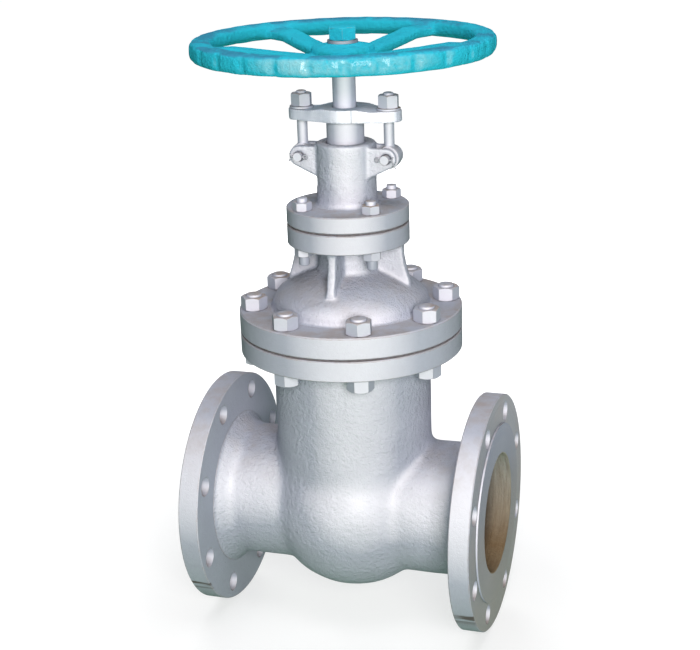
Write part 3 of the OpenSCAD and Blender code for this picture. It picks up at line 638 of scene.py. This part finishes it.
def joined(parts):
    """Puts several closed shapes into one mesh."""
    whole = bmesh.new()
    for part in parts:
        mesh = bpy.data.meshes.new("part")
        part.to_mesh(mesh)
        part.free()
        whole.from_mesh(mesh)
        bpy.data.meshes.remove(mesh)
    return whole


def everywhere(co):
    return True


def rounded_nuts(bm):
    """Rounds the edges of painted nuts."""
    bmesh.ops.dissolve_limit(bm, angle_limit=math.radians(1.0), verts=bm.verts, edges=bm.edges)
    rim = [e for e in bm.edges if e.calc_face_angle(0.0) > math.radians(24)]
    bmesh.ops.bevel(bm, geom=rim, offset=sizes().nut_round, offset_type="OFFSET", segments=2,
                    profile=0.5, affect="EDGES", material=-1, clamp_overlap=True)
    return bm


def stem_reach(co):
    return math.hypot(co.x - STEM_X, co.y)


def pipe_reach(co):
    return math.hypot(co.y, co.z)


def piece(name, bm, body, materials, nodes, pick=None, sharp=38.0):
    """Makes a finished piece that rides on a body and stands for its solids."""
    limit = math.radians(sharp)
    bm.normal_update()
    for face in bm.faces:
        face.smooth = True
        if pick:
            face.material_index = pick(face.calc_center_median(), face.normal)
    for edge in bm.edges:
        edge.smooth = edge.calc_face_angle(0.0) < limit
    mesh = bpy.data.meshes.new(name)
    bm.to_mesh(mesh)
    bm.free()
    for material in materials:
        mesh.materials.append(material)
    obj = bpy.data.objects.new(name, mesh)
    bpy.context.scene.collection.objects.link(obj)
    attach(obj, body)
    if nodes:
        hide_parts(*nodes)
    return obj


def dress(material, *names):
    """Gives carried-over solids their finish."""
    for name in names:
        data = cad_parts[name].data
        data.materials.clear()
        data.materials.append(material)


# Pieces

class VALVE_OT_body(bpy.types.Operator):
    """Body casting with its flanges, hollow fillets, turned faces and rusty bore"""

    bl_idname = "valve.body"
    bl_label = "Body casting"

    def execute(self, context):
        solid = from_nodes("valve_body")
        low = BODY_LOW.x + FLANGE_BACK + END_ROOT
        high = BODY_HIGH.x - FLANGE_BACK - END_ROOT
        under = COVER_UNDER - COVER_ROOT
        parts = []

        def at_mouth(co):
            return (min(co.x, BODY_HIGH.x - co.x) < 0.0002
                    and abs(pipe_reach(co) - BORE_REACH) < 0.0003)
        for place, outwards in (((low, 0, 0), (1, 0, 0)), ((high, 0, 0), (-1, 0, 0)),
                                ((STEM_X, 0, under), (0, 0, -1))):
            flange = solid.copy()
            cut(flange, place, outwards)
            mouth = [e for e in flange.edges if all(at_mouth(v.co) for v in e.verts)]
            bmesh.ops.bevel(flange, geom=mouth, offset=MOUTH_BEVEL, offset_type="OFFSET",
                            segments=2, profile=0.5, affect="EDGES", material=-1)
            parts.append(flange)
        skin = even_grid(solid, sizes().body_grid)

        def saddle(width):
            return lambda co: (co.z > -0.02 and abs(stem_reach(co) - CHEST_REACH) < width
                               and abs(pipe_reach(co) - NECK_REACH - 0.004) < width)

        def cast(co):
            return (low + SKIN_START < co.x < high - SKIN_START and co.z < under
                    and pipe_reach(co) > BORE_REACH + 0.0045
                    and (co.z < 0.05 or stem_reach(co) > CHEST_REACH - 0.006))
        soften(skin, saddle(0.017), 8)
        soften(skin, saddle(0.011), 10)
        soften(skin, cast, 2)
        wavy(skin, sizes().casting_wave, 0.03, cast)
        for place, outwards in (((low - LAP, 0, 0), (-1, 0, 0)), ((high + LAP, 0, 0), (1, 0, 0)),
                                ((STEM_X, 0, under + LAP), (0, 0, 1))):
            cut(skin, place, outwards)
        parts.append(skin)

        painted, turned, rusty, rim, hole = range(5)

        def finish(co, normal):
            reach = pipe_reach(co)
            inner = min(co.x, BODY_HIGH.x - co.x)
            if reach < BORE_REACH + 0.0035 and inner < PORT_DEPTH:
                return rusty
            if inner < RAISED_BACK and abs(normal.x) > 0.8:
                return turned
            if inner < FLANGE_BACK - 0.0004 and reach < HOLES_REACH and abs(normal.x) < 0.5:
                return hole
            if inner < FLANGE_BACK + 0.0002 or co.z > under:
                return rim
            return painted
        piece("body_casting", joined(parts), "valve",
              [casting_paint(), turned_face(), rusty_bore(), rim_paint(), hole_paint()],
              ["valve_body"], finish)
        return {"FINISHED"}


class VALVE_OT_bonnet(bpy.types.Operator):
    """Bonnet casting with its dome, four rounded ribs and neck flange"""

    bl_idname = "valve.bonnet"
    bl_label = "Bonnet casting"

    def execute(self, context):
        solid = from_nodes("bonnet")
        foot = DOME_FOOT + ROOT
        under = NECK_UNDER - ROOT
        cover, neck_flange = solid.copy(), solid.copy()
        cut(cover, (STEM_X, 0, foot), (0, 0, 1))
        cut(neck_flange, (STEM_X, 0, under), (0, 0, -1))
        skin = even_grid(solid, sizes().bonnet_grid)

        def cast(co):
            return foot - BLEND < co.z < under + BLEND and stem_reach(co) < DOME_REACH
        soften(skin, lambda co: cast(co) and foot + 0.012 < co.z < under - 0.003, 4)
        soften(skin, cast, 4)
        wavy(skin, sizes().casting_wave, 0.025, cast)
        cut(skin, (STEM_X, 0, foot - LAP), (0, 0, -1))
        cut(skin, (STEM_X, 0, under + LAP), (0, 0, 1))

        def finish(co, normal):
            return 0 if foot < co.z < under else 1
        piece("bonnet_casting", joined([cover, neck_flange, skin]), "valve",
              [casting_paint(), rim_paint()], ["bonnet"], finish)
        return {"FINISHED"}


class VALVE_OT_box(bpy.types.Operator):
    """Stuffing box with its ears"""

    bl_idname = "valve.box"
    bl_label = "Stuffing box"

    def execute(self, context):
        solid = from_nodes("stuffing_box")
        top = BOX_FLANGE_TOP + ROOT
        flange = solid.copy()
        cut(flange, (STEM_X, 0, top), (0, 0, 1))
        skin = even_grid(solid, sizes().box_grid)

        def cast(co):
            return co.z > top - BLEND and stem_reach(co) > BOX_BORE_REACH
        soften(skin, cast, 4)
        wavy(skin, sizes().casting_wave, 0.02, cast)
        cut(skin, (STEM_X, 0, top - LAP), (0, 0, -1))

        def finish(co, normal):
            return 0 if co.z > top else 1
        piece("stuffing_box_casting", joined([flange, skin]), "valve",
              [casting_paint(), rim_paint()], ["stuffing_box"], finish)
        return {"FINISHED"}


class VALVE_OT_gland(bpy.types.Operator):
    """Gland plate, eye bolts, bush, hinge pins, split pins and washers"""

    bl_idname = "valve.gland"
    bl_label = "Gland pieces"

    def execute(self, context):
        step = sizes().small_grid
        bm = even_grid(from_nodes("gland_plate"), step)
        soften(bm, everywhere, 2)
        wavy(bm, sizes().casting_wave, 0.012, everywhere)
        for v in bm.verts:
            if v.co.x > PARTING_X and v.co.y < PARTING_Y:
                v.co.y -= PARTING_STEP
        piece("gland_plate_forging", bm, "valve", [gland_paint()], ["gland_plate"])
        bm = even_grid(from_nodes("eye_bolts"), step)
        soften(bm, everywhere, 2)
        piece("eye_bolt_pair", bm, "valve", [bolt_paint()], ["eye_bolts"])
        dress(bolt_paint(), "gland_bush", "hinge_pins", "gland_washers")

        pair = from_nodes("split_pins")
        pins = []
        for side, leg in ((-1, PIN_LEG_LEFT), (1, PIN_LEG_RIGHT)):
            pin = pair.copy()
            far = [v for v in pin.verts if (v.co.x - STEM_X) * side < 0]
            bmesh.ops.delete(pin, geom=far, context="VERTS")
            cut(pin, (STEM_X, 0, PIN_LEVEL + PIN_LEG_ABOVE), (0, 0, 1))
            cut(pin, (STEM_X, 0, PIN_LEVEL - leg), (0, 0, -1))
            pins.append(pin)
        pair.free()
        piece("split_pin_wires", joined(pins), "valve", [wire_paint()],
              ["split_pins"])
        return {"FINISHED"}


class VALVE_OT_bolting(bpy.types.Operator):
    """Studs and nuts with soft painted edges"""

    bl_idname = "valve.bolting"
    bl_label = "Studs and nuts"

    def execute(self, context):
        for name in ("bonnet_upper_nuts", "bonnet_lower_nuts", "box_upper_nuts", "box_lower_nuts",
                     "gland_nuts"):
            piece(name + "_painted", rounded_nuts(from_nodes(name)), "valve",
                  [bolt_paint()], [name], sharp=NUT_SHARP)
        for name in ("bonnet_studs", "box_studs"):
            piece(name + "_painted", from_nodes(name), "valve",
                  [bolt_paint()], [name], sharp=STUD_SHARP)
        return {"FINISHED"}


class VALVE_OT_wheel(bpy.types.Operator):
    """Handwheel with its grip, spokes and hub, and the stem, washer and nut that turn with it"""

    bl_idname = "valve.wheel"
    bl_label = "Handwheel"

    def execute(self, context):
        bm = even_grid(from_nodes("handwheel"), sizes().wheel_grid)
        rim_top, rim_low = WHEEL_HIGH.z - 0.010, WHEEL_HIGH.z - 0.014
        soften(bm, lambda co: co.z > rim_top and stem_reach(co) > RIM_TOP_REACH, 26)
        soften(bm, lambda co: co.z < rim_low and stem_reach(co) > GRIP_REACH, 16)
        soften(bm, everywhere, 2)
        wavy(bm, sizes().casting_wave, 0.018, everywhere)
        piece("handwheel_casting", bm, "wheel", [wheel_paint()], ["handwheel"])
        bm = from_nodes("wheel_nut")
        thread = [f for f in bm.faces if all(stem_reach(v.co) < NUT_THREAD_REACH for v in f.verts)]
        bmesh.ops.delete(bm, geom=thread, context="FACES")
        bmesh.ops.holes_fill(bm, edges=[e for e in bm.edges if e.is_boundary])
        piece("wheel_nut_painted", rounded_nuts(bm), "wheel", [wheel_paint()],
              ["wheel_nut"], sharp=NUT_SHARP)
        dress(wire_paint(), "wheel_washer")
        dress(lightened_stem_paint(), "stem")
        return {"FINISHED"}


class VALVE_OT_inner(bpy.types.Operator):
    """Finishes of the seat rings, wedge, stem nut, gaskets and packing"""

    bl_idname = "valve.inner"
    bl_label = "Seats, wedge and gaskets"

    def execute(self, context):
        dress(bare_metal("Seat steel", (0.5, 0.5, 0.5), 0.35), "inlet_seat_ring",
              "outlet_seat_ring")
        dress(bare_metal("Wedge steel", (0.34, 0.33, 0.32), 0.7), "wedge")
        dress(bare_metal("Bronze nut", colours().bronze, 0.15), "stem_nut")
        dress(fibre_edge(), "body_gasket", "box_gasket", "packing")
        return {"FINISHED"}


def lamp(name, place, width, power, colour=WHITE[:3]):
    """A square soft lamp that looks at the middle of the valve."""
    data = bpy.data.lights.new(name, "AREA")
    data.shape = "SQUARE"
    data.size = width
    data.energy = power
    data.color = colour
    obj = bpy.data.objects.new(name, data)
    obj.location = place
    obj.rotation_euler = (Vector(LAMP_AIM) - Vector(place)).to_track_quat("-Z", "Y").to_euler()
    bpy.context.scene.collection.objects.link(obj)


def seen_direct(tree):
    """One for rays from the eye or off gloss and glass, nought for soft light."""
    path = add(tree, "LightPath").outputs
    direct = math_of(tree, "MAXIMUM", path["Is Camera Ray"], path["Is Glossy Ray"])
    return math_of(tree, "MAXIMUM", direct, path["Is Transmission Ray"])


class VALVE_OT_stage(bpy.types.Operator):
    """Pale floor, soft studio light and the camera"""

    bl_idname = "valve.stage"
    bl_label = "Studio"

    def execute(self, context):
        scene = context.scene
        scene.view_settings.view_transform = "Standard"
        bm = bmesh.new()
        bmesh.ops.create_grid(bm, x_segments=1, y_segments=1, size=FLOOR_HALF)
        bmesh.ops.translate(bm, verts=bm.verts, vec=(STEM_X, 0.0, cad_box[0][2]))
        mesh = bpy.data.meshes.new("floor")
        bm.to_mesh(mesh)
        bm.free()
        floor = bpy.data.objects.new("floor", mesh)
        scene.collection.objects.link(floor)
        material, tree, shader = new_material("Pale floor")
        shader.inputs["Base Color"].default_value = rgba(colours().floor)
        shader.inputs["Roughness"].default_value = 0.9
        shader.inputs["Specular IOR Level"].default_value = 0.0
        split = split_up(tree, object_place(tree))
        reach = length_of(tree, X=math_of(tree, "SUBTRACT", split["X"], STEM_X), Y=split["Y"])
        glow = mapped(tree, reach, FLOOR_NEAR, FLOOR_FAR, GLOW_NEAR, GLOW_FAR)
        white = add(tree, "Emission", {"Color": WHITE, "Strength": glow})
        shaded = add(tree, "BsdfDiffuse", {"Color": rgba(WHITE, SHADE_CATCH)})
        seen = add(tree, "AddShader", {0: white.outputs[0], 1: shaded.outputs[0]})
        mix = add(tree, "MixShader", {"Fac": seen_direct(tree), 1: shader.outputs[0],
                                      2: seen.outputs[0]})
        tree.links.new(mix.outputs[0], tree.nodes["Material Output"].inputs["Surface"])
        mesh.materials.append(material)

        world = bpy.data.worlds.new("Studio")
        world.use_nodes = True
        scene.world = world
        tree = world.node_tree
        soft = tree.nodes["Background"]
        soft.inputs["Color"].default_value = (0.80, 0.92, 1.0, 1.0)
        soft.inputs["Strength"].default_value = 0.115
        clear = add(tree, "Background", {"Color": WHITE, "Strength": 1.0})
        mix = add(tree, "MixShader", {"Fac": seen_direct(tree), 1: soft.outputs[0],
                                      2: clear.outputs[0]})
        tree.links.new(mix.outputs[0], tree.nodes["World Output"].inputs["Surface"])

        lamp("Key", (1.22, -2.24, 0.94), 1.2, 68.0, (1.0, 0.985, 0.985))
        lamp("Top", (0.3, -0.4, 2.4), 1.4, 26.0)
        lamp("Back", (-0.75, 2.3, 0.6), 1.0, 45.0)

        turn, rise, lean = (math.radians(a) for a in (CAMERA_TURN, CAMERA_RISE, CAMERA_LEAN))
        level = math.cos(rise)
        back = Vector((math.sin(turn) * level, -math.cos(turn) * level, math.sin(rise)))
        right = Vector((math.cos(turn), math.sin(turn), 0.0))
        up = back.cross(right)
        tilted = right * math.cos(lean) + up * math.sin(lean)
        upright = up * math.cos(lean) - right * math.sin(lean)
        data = bpy.data.cameras.new("Camera")
        data.lens = CAMERA_LENS
        data.sensor_fit = "HORIZONTAL"
        data.sensor_width = CAMERA_FILM
        camera = bpy.data.objects.new("Camera", data)
        scene.collection.objects.link(camera)
        camera.matrix_world = (Matrix.Translation(CAMERA_PLACE)
                               @ Matrix((tilted, upright, back)).transposed().to_4x4())
        scene.camera = camera
        return {"FINISHED"}


class VALVE_PT_panel(bpy.types.Panel):
    """Buttons and values for the valve's pieces"""

    bl_idname = "VALVE_PT_panel"
    bl_label = "Gate valve"
    bl_space_type = "VIEW_3D"
    bl_region_type = "UI"
    bl_category = "Gate valve"

    def draw(self, context):
        for operator in OPERATORS:
            self.layout.operator(operator.bl_idname)
        for group in (context.scene.valve_sizes, context.scene.valve_colours):
            for name in group.__annotations__:
                self.layout.prop(group, name)


OPERATORS = (VALVE_OT_body, VALVE_OT_bonnet, VALVE_OT_box, VALVE_OT_gland, VALVE_OT_bolting,
             VALVE_OT_wheel, VALVE_OT_inner, VALVE_OT_stage)
CLASSES = (ValveSizes, ValveColours) + OPERATORS + (VALVE_PT_panel,)


def register():
    for cls in CLASSES:
        bpy.utils.register_class(cls)
    bpy.types.Scene.valve_sizes = bpy.props.PointerProperty(type=ValveSizes)
    bpy.types.Scene.valve_colours = bpy.props.PointerProperty(type=ValveColours)


def unregister():
    del bpy.types.Scene.valve_sizes
    del bpy.types.Scene.valve_colours
    for cls in reversed(CLASSES):
        bpy.utils.unregister_class(cls)


def main():
    register()
    bpy.ops.valve.stage()
    bpy.ops.valve.body()
    bpy.ops.valve.bonnet()
    bpy.ops.valve.box()
    bpy.ops.valve.gland()
    bpy.ops.valve.bolting()
    bpy.ops.valve.wheel()
    bpy.ops.valve.inner()


if __name__ == "__main__":
    main()
